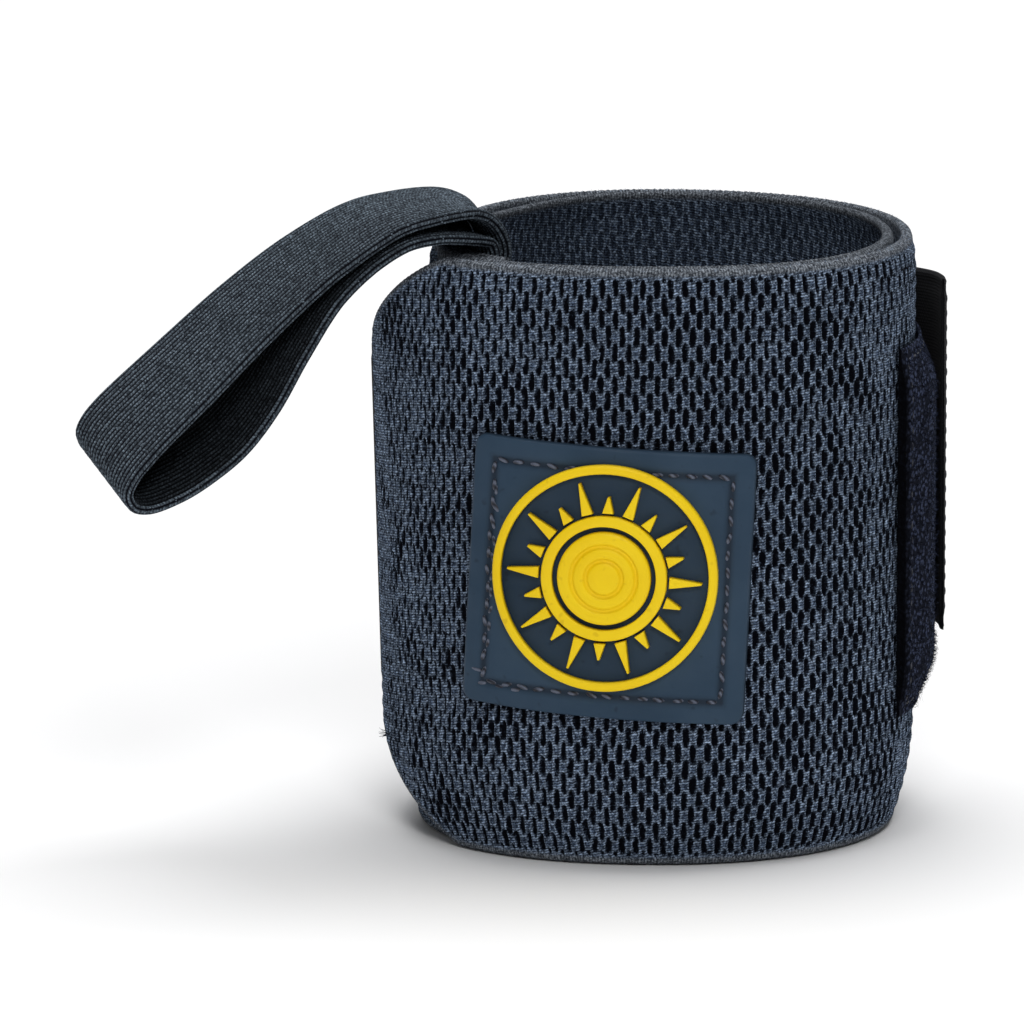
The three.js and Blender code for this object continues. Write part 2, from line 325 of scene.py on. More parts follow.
def weaveRelief(along, height):
    row = (roll["height"] - weave["rimBand"] - height) / weave["row"]
    reach = farReach
    for shift in (0, 1):  # the even rows, then the odd ones half a pitch along
        fromSlot = np.abs((along / weave["pitch"] + shift / 2) % 1 - 0.5) * 2
        fromRow = np.abs((row / 2 + shift / 2 + 0.25) % 1 - 0.5) * 2
        reach = np.minimum(reach, (fromSlot / weave["slotWide"]) ** 2 + (fromRow / weave["slotTall"]) ** 4)
    return smoothStep(reach, 0.5, 1.5) * (0.7 + 0.3 * smoothStep(reach, 1, 6))


# tone scales the whole colour. openness sets how dark the painted shade in the slots and rib middles is, and
# how deep the slots' bump is.
def elasticFinish(name, tone, openness):
    f = Finish(name, roughness=0.9, sheen=0.03, sheenTint=linear(150, 165, 190), specular=0.06)
    along, height = f.cloth()
    drift = f.sum("MULTIPLY", f.sum("SUBTRACT", f.noise(160, 3.0, 0.6), 0.5), weave["drift"])
    along = f.sum("ADD", along, drift)
    lean = f.sum("MULTIPLY", f.sum("SUBTRACT", f.noise(240, 2.0), 0.5), weave["lean"])
    below = f.sum("SUBTRACT", roll["height"] - weave["rimBand"], f.sum("ADD", height, lean))
    row = f.sum("DIVIDE", below, weave["row"])
    column = f.sum("DIVIDE", along, weave["pitch"])
    reach = farReach
    for shift in (0, 0.5):
        fromSlot = f.sum("ABSOLUTE", f.sum("SUBTRACT", f.sum("FRACT", f.sum("ADD", column, shift)), 0.5))
        fromRow = f.sum("FRACT", f.sum("MULTIPLY_ADD", row, 0.5, shift + 0.25))
        fromRow = f.sum("ABSOLUTE", f.sum("SUBTRACT", fromRow, 0.5))
        wide = f.sum("POWER", f.sum("MULTIPLY", fromSlot, 2 / weave["slotWide"]), 2.0)
        tall = f.sum("POWER", f.sum("MULTIPLY", fromRow, 2 / weave["slotTall"]), 4.0)
        reach = f.sum("MINIMUM", reach, f.sum("ADD", wide, tall))
    edge = f.mark("edge")
    reach = f.sum("ADD", reach, f.sum("MULTIPLY", edge, 3.0))
    ragged = f.sum("MULTIPLY_ADD", f.noise(1300, 4.0, 0.75), weave["tear"], -weave["tear"] / 2)
    torn = f.sum("ADD", reach, ragged)
    # Painted shade in each slot, which the bump also sinks
    slot = f.step(torn, 0.5, 1.9, openness, 0.0)
    # Painted highlight on the strands round each slot
    strandHighlight = f.sum("MULTIPLY", f.step(torn, 1.1, 2.0), f.step(torn, 4.6, 2.6))
    # Fine cross yarns, each rib in its own time
    halves = f.sum("MULTIPLY", column, 2.0)
    slanted = f.sum("MULTIPLY_ADD", f.sum("FRACT", halves), weave["tickSlant"], height)
    tick = f.wave(slanted, weave["tickLength"], f.sum("MULTIPLY", f.sum("FLOOR", halves), weave["tickShift"]))
    tick = f.sum("MULTIPLY_ADD", f.step(tick, 0.2, 0.95), 0.7, 0.3)
    mottle = f.step(f.noise(3000, 3.0, 0.7), 0.4, 0.62, 0.15, 1.0)
    # Painted shade in the middle of each rib, away from the slots
    core = f.step(reach, 3.5, 7.0, 1.0, 1 - 0.4 * openness)
    speck = f.step(f.noise(3000, 1.0), 0.66, 0.78, 0.0, 0.9)
    fine = f.sum("MAXIMUM", f.sum("MULTIPLY", f.sum("MULTIPLY", tick, mottle), core), speck)
    thread = f.blend(strandHighlight, linear(*weave["rib"]), linear(*weave["strandHighlight"]))
    # Painted shade: the dark groove colour between the cross yarns
    cloth = f.blend(fine, linear(*weave["groove"]), thread)
    # Painted light on the band's edges: the edge yarns take the lighter selvedge colour
    rimThread = f.sum("MULTIPLY", f.sum("MULTIPLY_ADD", f.wave(along, weave["rimYarn"]), 0.6, 0.4), mottle)
    rim = f.blend(rimThread, linear(*weave["groove"]), linear(*weave["selvedge"]))
    cloth = f.blend(f.step(edge, 0.25, 0.85), cloth, rim)
    cloth = f.blend(slot, cloth, linear(*weave["slot"]))
    patch = f.step(f.noise(26, 3.0), 0.3, 0.7, tone * 0.86, tone * 1.1)
    cloth = f.shaded(cloth, patch)
    relief = f.sum("SUBTRACT", f.sum("MULTIPLY", fine, 0.35), f.sum("MULTIPLY", slot, 0.8))
    return f.finish(cloth, f.bump(relief, 0.34, 0.9))


elastic = elasticFinish("wovenElastic", 0.9, 1.0)
# The inner turn's copy is darker, with fainter slots: painted shade inside the roll.
shadedElastic = elasticFinish("wovenElasticShaded", 0.68, 0.45)


def bandPiece(name, finish, firstSweep, lastSweep, perPitch, outerRows, innerRows, outerDepth, innerDepth):
    first, last = arcOf(firstSweep), arcOf(lastSweep)
    columns = round((last - first) / (weave["pitch"] / perPitch))
    section = stripSection(roll["height"], roll["thickness"], outerRows, innerRows)
    tailDrop = (roll["height"] - hookStrap["width"]) / 2

    def shape(share, up, out, side, around):
        arc = mixed(first, last, share)
        sweep = sweepOf(arc)
        taperSweep = arcDegrees(roll["taper"], roll["radius"] + pitch)
        cut = tailDrop * np.clip(1 - (endSweep - sweep) / taperSweep, 0, 1) ** roll["taperPower"]
        height = mixed(cut, roll["height"] - cut, up / roll["height"])
        depth = np.where(side > 0, outerDepth, np.where(side < 0, innerDepth, 0))
        nearEdge = np.clip(np.minimum(up, roll["height"] - up) / weave["rimRound"], 0, 1)
        offset = out - np.sign(out) * (1 - weaveRelief(arc, height)) * depth * nearEdge
        ribbing = 0.07 * np.cos(2 * math.pi * arc / weave["rimCord"]) * (1 - nearEdge) * (side == 0)
        return onRoll(sweep, height + ribbing, offset), np.stack([arc, height], -1), {}

    mesh = wrappedGrid(name, columns, section, shape)
    piece = addPiece(mesh, finish)
    return piece


hookStrap = dict(
    width=48, thickness=1.9, endAngle=86, climb=9.8, ramp=60,
    thin=1.05, press=(66, 80, 100, 118), endRound=0.9, hemAndEndShade=2.4,
)
pilePatch = dict(
    width=50, thickness=1.6, length=70, endAngle=64, rise=1.5,
    loft=0.95, margin=7, endRound=0.8, hemAndEndShade=0.7, hug=0.9,
)
# The sweeps where the three lengths of the band meet
innerBreak, backBreak = 385, 574
# Last five values: columns in each pitch, rows on the outer and inner face, and the relief's depth on each
elasticFront = bandPiece("elastic_front", elastic, backBreak, endSweep, 6, 219, 8, weave["depth"], 0)
bandPiece("elastic_back", elastic, innerBreak, backBreak, 5, 182, 8, weave["depth"], 0)
bandPiece("elastic_inner", shadedElastic, 0, innerBreak, 4, 8, 182, 0, weave["depth"] * 0.5)
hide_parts("elastic_band")
print("wrist wrap: elastic band woven")

# Pile patch
pileEnd = sweepAt(pilePatch["endAngle"], roll["turns"])
pileStart = pileEnd - arcDegrees(pilePatch["length"], roll["radius"] + pilePatch["thickness"] / 2)
pileOffset = (roll["thickness"] + pilePatch["thickness"]) / 2 + roll["gap"]


def pileFinish():
    f = Finish("loopPile", roughness=1.0, sheen=0.08, sheenTint=linear(120, 135, 175), specular=0.06)
    tuft = f.node("TexVoronoi", {"Vector": f.place(), "Scale": 1500.0, "Randomness": 1.0})
    curl = f.noise(2600, 3.0, 0.7)
    clump = f.noise(420, 2.0)
    share = f.sum("MULTIPLY", f.sum("ADD", curl, f.sum("SUBTRACT", clump, 0.5)), f.step(tuft, 0.75, 0.1))
    colour = f.blend(f.step(share, 0.12, 0.52), linear(4, 5, 13), linear(64, 72, 96))
    # Painted shade, near black, at the patch's two ends
    colour = f.blend(f.mark("hemAndEndShade"), colour, linear(1, 1, 3))
    return f.finish(colour, f.bump(share, 0.5, 0.8))


pile = pileFinish()


def closing(sweep, turn):  # 1 where the strap's end presses on the pile, which stands higher there
    angle = roll["startAngle"] + 360 * turn - sweep
    rises, full, fades, gone = hookStrap["press"]
    return smoothStep(angle, rises, full) * (1 - smoothStep(angle, fades, gone))


def pileMargin(up):  # 0 at the patch's long edges, 1 in its middle
    return np.clip(np.minimum(up, pilePatch["width"] - up) / pilePatch["margin"], 0, 1)


def pileLoft(sweep, margin):
    return pilePatch["loft"] * closing(sweep, roll["turns"]) * smoothStep(margin, 0.1, 1)


def pileShape(share, up, out, side, around):
    sweep = mixed(pileStart, pileEnd, share)
    height = roll["height"] / 2 + pilePatch["rise"] + up - pilePatch["width"] / 2
    arc = arcOf(sweep)
    nap = 0.1 * (np.sin(arc * 5.1 + np.sin(height * 3.7)) * np.sin(height * 4.3 + np.sin(arc * 2.9)) - 1)
    fromEnd = np.minimum(share, 1 - share) * pilePatch["length"]
    ends = np.clip(fromEnd / pilePatch["endRound"], 0, 1)
    margin, half = pileMargin(up), pilePatch["thickness"] / 2
    thinned = 1 - 0.2 * (1 - np.sqrt(1 - (1 - ends) ** 2)) - pilePatch["hug"] * (1 - margin) ** 2
    shaped = np.where(out > 0.01 - half, (out + half) * np.clip(thinned, 0.3, 1) - half, out)
    lifted = np.where(side > 0, nap + pileLoft(sweep, margin), 0)
    # Painted shade at the patch's two ends, passed on to the colour
    hemAndEndShade = np.exp(-((fromEnd / pilePatch["hemAndEndShade"]) ** 2))
    return onRoll(sweep, height, pileOffset + shaped + lifted), np.stack([arc, height], -1), {"hemAndEndShade": hemAndEndShade}


pileSection = stripSection(pilePatch["width"], pilePatch["thickness"], 110, 12)
pileMesh = wrappedGrid("pile_patch_cloth", 140, pileSection, pileShape)
pilePiece = addPiece(pileMesh, pile, ["pile_patch"])

# Hook strap
strapStart = endSweep + arcDegrees(roll["gap"], roll["radius"])
strapEnd = sweepAt(hookStrap["endAngle"], roll["turns"] + 1)
strapTailOffset = (hookStrap["thickness"] - roll["thickness"]) / 2
strapPileOffset = pileOffset + (pilePatch["thickness"] + hookStrap["thickness"]) / 2 + roll["gap"] - pitch
rampEnd = pileStart + 360 - arcDegrees(hookStrap["thickness"], roll["radius"])


def onStrap(share, up, out):
    sweep = mixed(strapStart, strapEnd, share)
    ramp = smoothStep(sweep, rampEnd - hookStrap["ramp"], rampEnd)
    offset = mixed(strapTailOffset, strapPileOffset, ramp) + out
    height = roll["height"] / 2 + hookStrap["climb"] * share + up - hookStrap["width"] / 2
    return onRoll(sweep, height, offset)


strapMiddle = onStrap(np.linspace(0, 1, 200), np.full(200, hookStrap["width"] / 2), 0)
strapLength = lengthTable(strapMiddle)[-1]


def strapShape(share, up, out, side, around):
    arc = share * strapLength
    ends = np.clip(np.minimum(share, 1 - share) * strapLength / hookStrap["endRound"], 0, 1)
    sunk = 0.3 * (1 - np.sqrt(1 - (1 - ends) ** 2))
    selvedge = 0.12 * (np.minimum(up, hookStrap["width"] - up) < hookStrap["hemAndEndShade"]) * (side != 0)
    pressed = hookStrap["thin"] * closing(mixed(strapStart, strapEnd, share), roll["turns"] + 1)
    pressed = pressed * (0.5 - out / hookStrap["thickness"])
    return onStrap(share, up, out - np.sign(out) * (sunk + selvedge) + pressed), np.stack([arc, up], -1), {}


def strapFinish():
    f = Finish("hookTape", roughness=0.75, sheen=0.02, specular=0.15)
    along, across = f.cloth()
    warp = f.wave(across, 0.42)
    weft = f.wave(along, 0.55, f.sum("MULTIPLY", f.sum("FLOOR", f.sum("DIVIDE", across, 0.42)), math.pi))
    thread = f.sum("MULTIPLY", f.sum("MULTIPLY_ADD", warp, 0.6, 0.4), f.sum("MULTIPLY_ADD", weft, 0.5, 0.5))
    dust = f.step(f.noise(1200, 3.0, 0.7), 0.55, 0.8, 0.0, 0.35)
    colour = f.blend(thread, linear(2, 2, 5), linear(14, 15, 22))
    colour = f.blend(dust, colour, linear(34, 36, 46))
    return f.finish(colour, f.bump(thread, 0.12, 0.8))


strap = strapFinish()
strapSection = stripSection(hookStrap["width"], hookStrap["thickness"], 60, 60)
strapMesh = wrappedGrid("hook_strap_tape", 190, strapSection, strapShape)
strapPiece = addPiece(strapMesh, strap, ["hook_strap"])
print("wrist wrap: pile patch and hook strap laid")

# Thumb loop
loop = dict(width=19.5, thickness=1.5, angle=-67, reach=50.5, drop=28.2, rise=5.7, tilt=17, leg=32)
# From the crest of the upper leg round the fold and back: out, drop, flat and tilt, as shares.
hangingRows = (
    (0.165, -0.182, 0.55, 0.02), (0.253, -0.142, 0.8, 0.08), (0.42, 0.024, 1, 0.3), (0.596, 0.253, 1, 0.55),
    (0.768, 0.51, 1, 0.78), (0.943, 0.777, 1, 0.96), (0.985, 0.862, 1, 1), (1, 0.926, 1, 1),
    (0.984, 0.983, 1, 1), (0.94, 1, 1, 1), (0.845, 0.955, 1, 0.95), (0.757, 0.878, 1, 0.85),
    (0.675, 0.778, 1, 0.75), (0.59, 0.61, 1, 0.62), (0.506, 0.38, 1, 0.48), (0.41, 0.15, 1, 0.32),
    (0.313, 0.005, 0.9, 0.18), (0.226, -0.074, 0.7, 0.06), (0.139, -0.092, 0.45, 0),
)
lowerSeat = -(roll["thickness"] + loop["thickness"]) / 2 - roll["gap"]
upperSeat = lowerSeat - loop["thickness"] - roll["gap"]
rimSeat = roll["gap"] + loop["thickness"] / 2
loopSweep = sweepAt(loop["angle"], 0)
loopRoot = float(planRadius(np.array(loopSweep), np.array(roll["height"])))
stations = np.array(
    [
        (upperSeat, -loop["leg"], 0, 0),
        (upperSeat, -loop["leg"] / 2, 0, 0),
        (upperSeat, 0, 0, 0),
        (mixed(upperSeat, lowerSeat, 0.4), loop["rise"] * 0.38, 0, 0),
        (mixed(upperSeat, 0, 0.7), loop["rise"] * 0.76, 0, 0),
        (loop["thickness"], loop["rise"] * 0.97, 0.2, 0),
        *((out * loop["reach"], -drop * loop["drop"], flat, tilt) for out, drop, flat, tilt in hangingRows),
        (loop["thickness"] * 2, rimSeat * 2.1, 0.2, 0),
        (0, rimSeat * 1.6, 0, 0),
        (-(roll["thickness"] + roll["gap"]) / 2, rimSeat * 1.3, 0, 0),
        (lowerSeat, -rimSeat, 0, 0),
        (lowerSeat, -loop["leg"] / 2, 0, 0),
        (lowerSeat, -loop["leg"], 0, 0),
    ]
)
stations[:, 1] += roll["height"]


def loopRoute(along):  # a centripetal curve through the stations' first two columns
    line = stations[:, :2]
    line = np.concatenate([[2 * line[0] - line[1]], line, [2 * line[-1] - line[-2]]])
    place = np.clip(along, 0, 1) * (len(stations) - 1)
    first = np.minimum(np.floor(place).astype(int), len(stations) - 2)
    share = (place - first)[:, None]
    p0, p1, p2, p3 = (line[first + i] for i in range(4))
    d0, d1, d2 = (np.sqrt(np.linalg.norm(b - a, axis=1))[:, None] for a, b in ((p0, p1), (p1, p2), (p2, p3)))
    t1 = ((p1 - p0) / d0 - (p2 - p0) / (d0 + d1) + (p2 - p1) / d1) * d1
    t2 = ((p2 - p1) / d1 - (p3 - p1) / (d1 + d2) + (p3 - p2) / d2) * d1
    point = p1 + t1 * share + (3 * (p2 - p1) - 2 * t1 - t2) * share**2 + (2 * (p1 - p2) + t1 + t2) * share**3
    bend = mixed(stations[first, 2:], stations[first + 1, 2:], share)
    return point[:, 0], point[:, 1], bend[:, 0], bend[:, 1]


def loopPoint(along, across):
    out, height, flat, tilt = loopRoute(along)
    tilt = tilt * loop["tilt"] * degree
    bent = onRoll(loopSweep - arcDegrees(across, loopRoot), np.minimum(height, roll["height"]), out)
    bent[:, 2] = height
    outward = np.array([math.sin(loop["angle"] * degree), -math.cos(loop["angle"] * degree), 0])
    sideways = np.array([math.cos(loop["angle"] * degree), math.sin(loop["angle"] * degree), 0])
    straight = outward * (loopRoot + out)[:, None] + sideways * (across * np.cos(tilt))[:, None]
    straight[:, 2] = height - across * np.sin(tilt)
    return mixed(bent, straight, flat[:, None])


routeTable = np.linspace(0, 1, 2400)
routeLength = lengthTable(loopPoint(routeTable, 0 * routeTable))
# groove is painted shade between the stitches; inside, darkFrom and darkTo paint shade on the inner face of
# the loop's hanging part.
knit = dict(
    wale=0.886, stitch=0.44, depth=0.24, slant=1.5, shift=0.37,
    rib=(126, 140, 153), groove=(2, 3, 9), inside=0.28, darkFrom=42, darkTo=60,
)


def onLoop(arc, across, out):
    along = np.interp(arc, routeLength, routeTable)
    probe = 1e-3
    alongStep = loopPoint(along + probe, across) - loopPoint(along - probe, across)
    acrossStep = loopPoint(along, across + probe) - loopPoint(along, across - probe)
    normal = np.cross(alongStep, acrossStep)
    normal /= np.linalg.norm(normal, axis=1)[:, None]
    return loopPoint(along, across) + normal * np.asarray(out)[..., None]


def loopShape(share, up, out, side, around):
    arc = share * routeLength[-1]
    rib = 0.5 - 0.5 * np.cos(2 * math.pi * around / knit["wale"])
    halfWidth, halfThick = loop["width"] / 2, loop["thickness"] / 2
    inward = np.hypot(out, np.clip(np.abs(up - halfWidth) - halfWidth + halfThick, 0, 1))
    shrink = 1 - knit["depth"] * (1 - rib) / inward
    middle = np.clip(up, halfThick, loop["width"] - halfThick)
    points = onLoop(arc, middle + (up - middle) * shrink - halfWidth, out * shrink)
    fromEnd = np.minimum(arc, routeLength[-1] - arc)
    # Painted shade on the inner face, in the hollow of the hanging loop
    inside = (side < 0) * smoothStep(fromEnd, knit["darkFrom"], knit["darkTo"])
    return points, np.stack([arc, around], -1), {"inside": inside}


def loopFinish():
    f = Finish("knittedStrap", roughness=0.9, sheen=0.03, sheenTint=linear(150, 160, 180), specular=0.08)
    along, across = f.cloth()
    wale = f.sum("DIVIDE", across, knit["wale"])
    inWale = f.sum("FRACT", wale)
    middle = f.sum("ABSOLUTE", f.sum("SUBTRACT", inWale, 0.5))
    parity = f.sum("FLOORED_MODULO", f.sum("FLOOR", wale), 2.0)
    side = f.sum("MULTIPLY", parity, knit["shift"])
    slant = f.sum("MULTIPLY", inWale, f.sum("MULTIPLY_ADD", parity, -knit["slant"], knit["slant"] / 2))
    stitch = f.sum("FRACT", f.sum("ADD", f.sum("MULTIPLY_ADD", along, 1 / knit["stitch"], side), slant))
    grain = f.step(f.sum("ABSOLUTE", f.sum("SUBTRACT", stitch, 0.5)), 0.44, 0.14, 0.4, 1.0)
    ridge = f.step(middle, 0.42, 0.08)
    thread = f.sum("MULTIPLY", grain, ridge)
    thread = f.sum("MULTIPLY", thread, f.step(f.noise(2000, 3.0, 0.8), 0.36, 0.66, 0.15, 1.0))
    thread = f.sum("MAXIMUM", thread, f.step(f.noise(2300, 1.0), 0.66, 0.78, 0.0, 0.7))
    # The near-black groove between stitches and wales is painted shade
    colour = f.blend(thread, linear(*knit["groove"]), linear(*knit["rib"]))
    # Painted shade in the loop's hollow
    dark = f.step(f.mark("inside"), 0.0, 1.0, 1.0, knit["inside"])
    patch = f.sum("MULTIPLY", f.step(f.noise(40, 2.0), 0.3, 0.7, 0.85, 1.12), dark)
    colour = f.shaded(colour, patch)
    return f.finish(colour, f.bump(thread, 0.22, 0.9))


loopSection = stripSection(loop["width"], loop["thickness"], 88, 88, edgeRows=10)
knit["wale"] = loopSection["around"][-1] / round(loopSection["around"][-1] / knit["wale"])
loopCloth = loopFinish()
loopMesh = wrappedGrid("thumb_loop_strap", 400, loopSection, loopShape)
loopPiece = addPiece(loopMesh, loopCloth, ["thumb_loop"])
print("wrist wrap: thumb loop knitted")

# Label patch, drawn flat with right and up from its middle, then laid on the band
label = dict(
    width=38, height=36, thickness=1.6, angle=-11.4, rise=-1.4, turn=3.3, corner=1.6, relief=0.9,
    emblemUp=0.9, emblemRight=-0.2, seam=3.0, stitch=2.25, threadWide=0.6,
    bevel=0.35, dish=0.12, dishReach=0.9, dent=0.24, dentReach=0.5, field=13.9, fieldEnd=15, fieldShade=0.42,
)
labelSweep = sweepAt(label["angle"], roll["turns"])
labelMiddle = roll["height"] / 2 + label["rise"]
labelSeat = roll["thickness"] / 2 + roll["gap"]
labelTop = labelSeat + label["thickness"]
reliefSeat = labelTop + roll["gap"]


def onLabel(right, up, offset):
    cosine, sine = math.cos(label["turn"] * degree), math.sin(label["turn"] * degree)
    turnedRight, turnedUp = right * cosine + up * sine, up * cosine - right * sine
    radius = planRadius(np.array(labelSweep), np.array(labelMiddle)) + offset
    return onRoll(labelSweep - arcDegrees(turnedRight, radius), labelMiddle + turnedUp, offset)


def placeFlat(bm, name, shape, mark=None):  # lays a flat drawing, its z the height over the band
    bmesh.ops.recalc_face_normals(bm, faces=bm.faces)
    mesh = bpy.data.meshes.new(name)
    bm.to_mesh(mesh)
    bm.free()
    points = readPoints(mesh)
    mesh.vertices.foreach_set("co", ((shape(*points.T) + axis) / 1000).ravel())
    if mark:
        shades = mesh.attributes.new("shade", "FLOAT", "POINT")
        shades.data.foreach_set("value", mark(*points.T).astype(np.float32))
    return mesh


def bevelEdges(bm, edges, wide, clamp=False):
    rounding = dict(segments=3, profile=0.5, affect="EDGES", material=-1)
    bmesh.ops.bevel(bm, geom=edges, offset=wide, clamp_overlap=clamp, **rounding)


def labelMesh():
    bm = bmesh.new()
    bmesh.ops.create_grid(bm, x_segments=95, y_segments=90, size=0.5)
    radius = label["corner"]
    for vertex in bm.verts:
        x, y = vertex.co.x * label["width"], vertex.co.y * label["height"]
        past = ((abs(x) - label["width"] / 2) / radius + 1, (abs(y) - label["height"] / 2) / radius + 1)
        if min(past) > 0:
            share = max(past) / math.hypot(*past)
            x = math.copysign(label["width"] / 2 - radius + past[0] * share * radius, x)
            y = math.copysign(label["height"] / 2 - radius + past[1] * share * radius, y)
        vertex.co = (x, y, labelSeat)
    grown = bmesh.ops.extrude_face_region(bm, geom=bm.faces[:])["geom"]
    lifted = [part for part in grown if isinstance(part, bmesh.types.BMVert)]
    bmesh.ops.translate(bm, verts=lifted, vec=(0, 0, label["thickness"]))
    bm.normal_update()
    folded = [e for e in bm.edges if len(e.link_faces) == 2 and e.calc_face_angle() > 1]
    bevelEdges(bm, [e for e in folded if e.verts[0].co.z > labelSeat + 1], label["bevel"])
    faceFrom = labelSeat + 1.2

    def insideOf(x, y):
        return np.minimum(label["width"] / 2 - np.abs(x), label["height"] / 2 - np.abs(y))

    def seamAt(x, y, z):
        return np.exp(-(((insideOf(x, y) - label["seam"]) / label["dentReach"]) ** 2)) * (z > faceFrom)

    def shape(x, y, z):
        dished = label["dish"] * np.exp(-((insideOf(x, y) / label["dishReach"]) ** 2))
        return onLabel(x, y, z - label["dent"] * seamAt(x, y, z) - np.where(z > faceFrom, dished, 0))

    def shadeAt(x, y, z):  # the seam, and the darker field within the ring
        fromMiddle = np.hypot(x - label["emblemRight"], y - label["emblemUp"])
        field = 1 - smoothStep(fromMiddle, label["field"], label["fieldEnd"])
        return np.maximum(seamAt(x, y, z), label["fieldShade"] * field)

    return placeFlat(bm, "label_rubber", shape, shadeAt)


def rubberFinish(name, base, worn, deep, roughness):
    f = Finish(name, specular=0.2)
    f.shader.inputs["Coat Weight"].default_value = 0.03
    f.shader.inputs["Coat Roughness"].default_value = 0.45
    cloud = f.step(f.noise(60, 4.0, 0.6), 0.3, 0.7)
    grain = f.noise(2200, 2.0, 0.6)
    speck = f.step(f.noise(700, 1.0), 0.68, 0.8)
    colour = f.blend(cloud, linear(*base), linear(*worn))
    colour = f.blend(f.sum("MULTIPLY", speck, 0.35), colour, linear(*deep))
    colour = f.blend(f.sum("MULTIPLY", f.mark("shade"), 0.75), colour, linear(*deep))
    rough = f.step(f.noise(180, 3.0), 0.3, 0.7, roughness, roughness + 0.15)
    return f.finish(colour, f.bump(grain, 0.03, 0.5), rough)


slate = rubberFinish("slateRubber", (37, 57, 76), (46, 66, 85), (8, 13, 24), 0.55)
yellow = rubberFinish("yellowRubber", (240, 201, 10), (245, 210, 20), (190, 150, 8), 0.42)
labelPiece = addPiece(labelMesh(), slate, ["label_patch"])


def emblemPoint(x, y, z):
    return onLabel(x + label["emblemRight"], y + label["emblemUp"], reliefSeat + z)


def spunRing(name, profile):  # profile of radius and height, open or closed, turned once round
    bm = bmesh.new()
    verts = [bm.verts.new((radius, 0, height)) for radius, height in profile]
    edges = [bm.edges.new(pair) for pair in zip(verts, verts[1:])]
    once = dict(cent=(0, 0, 0), axis=(0, 0, 1), angle=2 * math.pi)
    bmesh.ops.spin(bm, geom=verts + edges, steps=96, use_merge=True, **once)
    bmesh.ops.remove_doubles(bm, verts=bm.verts, dist=1e-4)
    return placeFlat(bm, name, emblemPoint)


emblem = dict(
    border=15.1, borderWide=1.2, rays=20, rayTip=13, rayShort=10.9, rayRoot=8.6, rayWide=1.5, rayTaper=1.25,
    sunInner=6.9, hub=6.2, grooves=(2.2, 4.1), round=0.22, foot=-0.25,
)
reliefTop, foot = label["relief"], emblem["foot"]


def roundedTop(inner, outer, soft):
    edge, shoulder = reliefTop - soft * 0.3, reliefTop - soft
    rise = [(inner, foot), (inner, shoulder), (inner + soft * 0.3, edge), (inner + soft, reliefTop)]
    fall = [(outer - soft, reliefTop), (outer - soft * 0.3, edge), (outer, shoulder), (outer, foot)]
    return rise + fall + rise[:1]


borderProfile = roundedTop(emblem["border"] - emblem["borderWide"], emblem["border"], emblem["round"] + 0.1)
addPiece(spunRing("emblem_border", borderProfile), yellow, ["label_border"])

hubRadius = emblem["hub"]
grooveSteps = ((-0.3, 0), (-0.1, 0.1), (0, 0.4), (0.4, 0.4), (0.5, 0.1), (0.7, 0))  # outwards and down
hubProfile = [(0, reliefTop), (1.0, reliefTop)]
for groove in emblem["grooves"]:
    hubProfile += [(groove + outwards, reliefTop - down) for outwards, down in grooveSteps]
hubProfile += [(hubRadius - 0.4, reliefTop), (hubRadius - 0.12, reliefTop - 0.1)]
hubProfile += [(hubRadius, reliefTop - 0.35), (hubRadius, foot), (hubRadius / 2, foot), (0, foot)]
addPiece(spunRing("emblem_hub", hubProfile), yellow, ["label_hub"])

sunProfile = roundedTop(emblem["sunInner"], emblem["rayRoot"] - 0.25, emblem["round"])
addPiece(spunRing("emblem_ring", sunProfile), yellow, ["label_sun"])

# Unlike the other templates, a ray is drawn long, so that its bevel keeps its width when it is placed
rayLong, rayTall = 3, 0.9


def rayShape():  # one ray, its base at the left and its tip at the right
    bm = bmesh.new()
    bmesh.ops.create_cube(bm, size=1)
    lengthwise = [e for e in bm.edges if abs(e.verts[0].co.x - e.verts[1].co.x) > 0.5]
    bmesh.ops.subdivide_edges(bm, edges=lengthwise, cuts=3, use_grid_fill=True)
    for vertex in bm.verts:
        x, y, z = vertex.co
        wide = emblem["rayWide"] - emblem["rayTaper"] * (x + 0.5)
        vertex.co = (x * rayLong, y * wide, (z + 0.5) * rayTall)
    bm.normal_update()
    ridge = [e for e in bm.edges if e.calc_face_angle() > 0.8 and min(v.co.z for v in e.verts) > 0.5]
    bevelEdges(bm, ridge, 0.16, clamp=True)
    return bm


def putRay(number, local):
    tip = np.where(number % 2 == 0, emblem["rayTip"], emblem["rayShort"])
    radius = mixed(emblem["rayRoot"] + 0.1, tip, local[:, 0] / rayLong + 0.5)
    turn = number * 2 * math.pi / emblem["rays"]
    sine, cosine, across = np.sin(turn), np.cos(turn), local[:, 1]
    height = local[:, 2] * (reliefTop - foot) / rayTall + foot
    return emblemPoint(radius * cosine - across * sine, radius * sine + across * cosine, height)


addPiece(copies("emblem_rays", rayShape(), emblem["rays"], putRay), yellow)
print("wrist wrap: label and emblem moulded")


# Threads: rounded stitches, half sunk in what they hold
def threadFinish(name, base, bright):
    f = Finish(name, roughness=0.55, sheen=0.1, specular=0.4)
    plies = {"Vector": f.place(), "Scale": 520.0, "Distortion": 1.5}
    twist = f.node("TexWave", plies, wave_type="BANDS", bands_direction="DIAGONAL")
    return f.finish(f.blend(twist, linear(*base), linear(*bright)), f.bump(twist, 0.08, 0.7))


def stitchShape():
    bm = bmesh.new()
    bmesh.ops.create_uvsphere(bm, u_segments=8, v_segments=6, radius=0.5)
    bmesh.ops.rotate(bm, verts=bm.verts, cent=(0, 0, 0), matrix=Matrix.Rotation(math.pi / 2, 3, "Y"))
    return bm


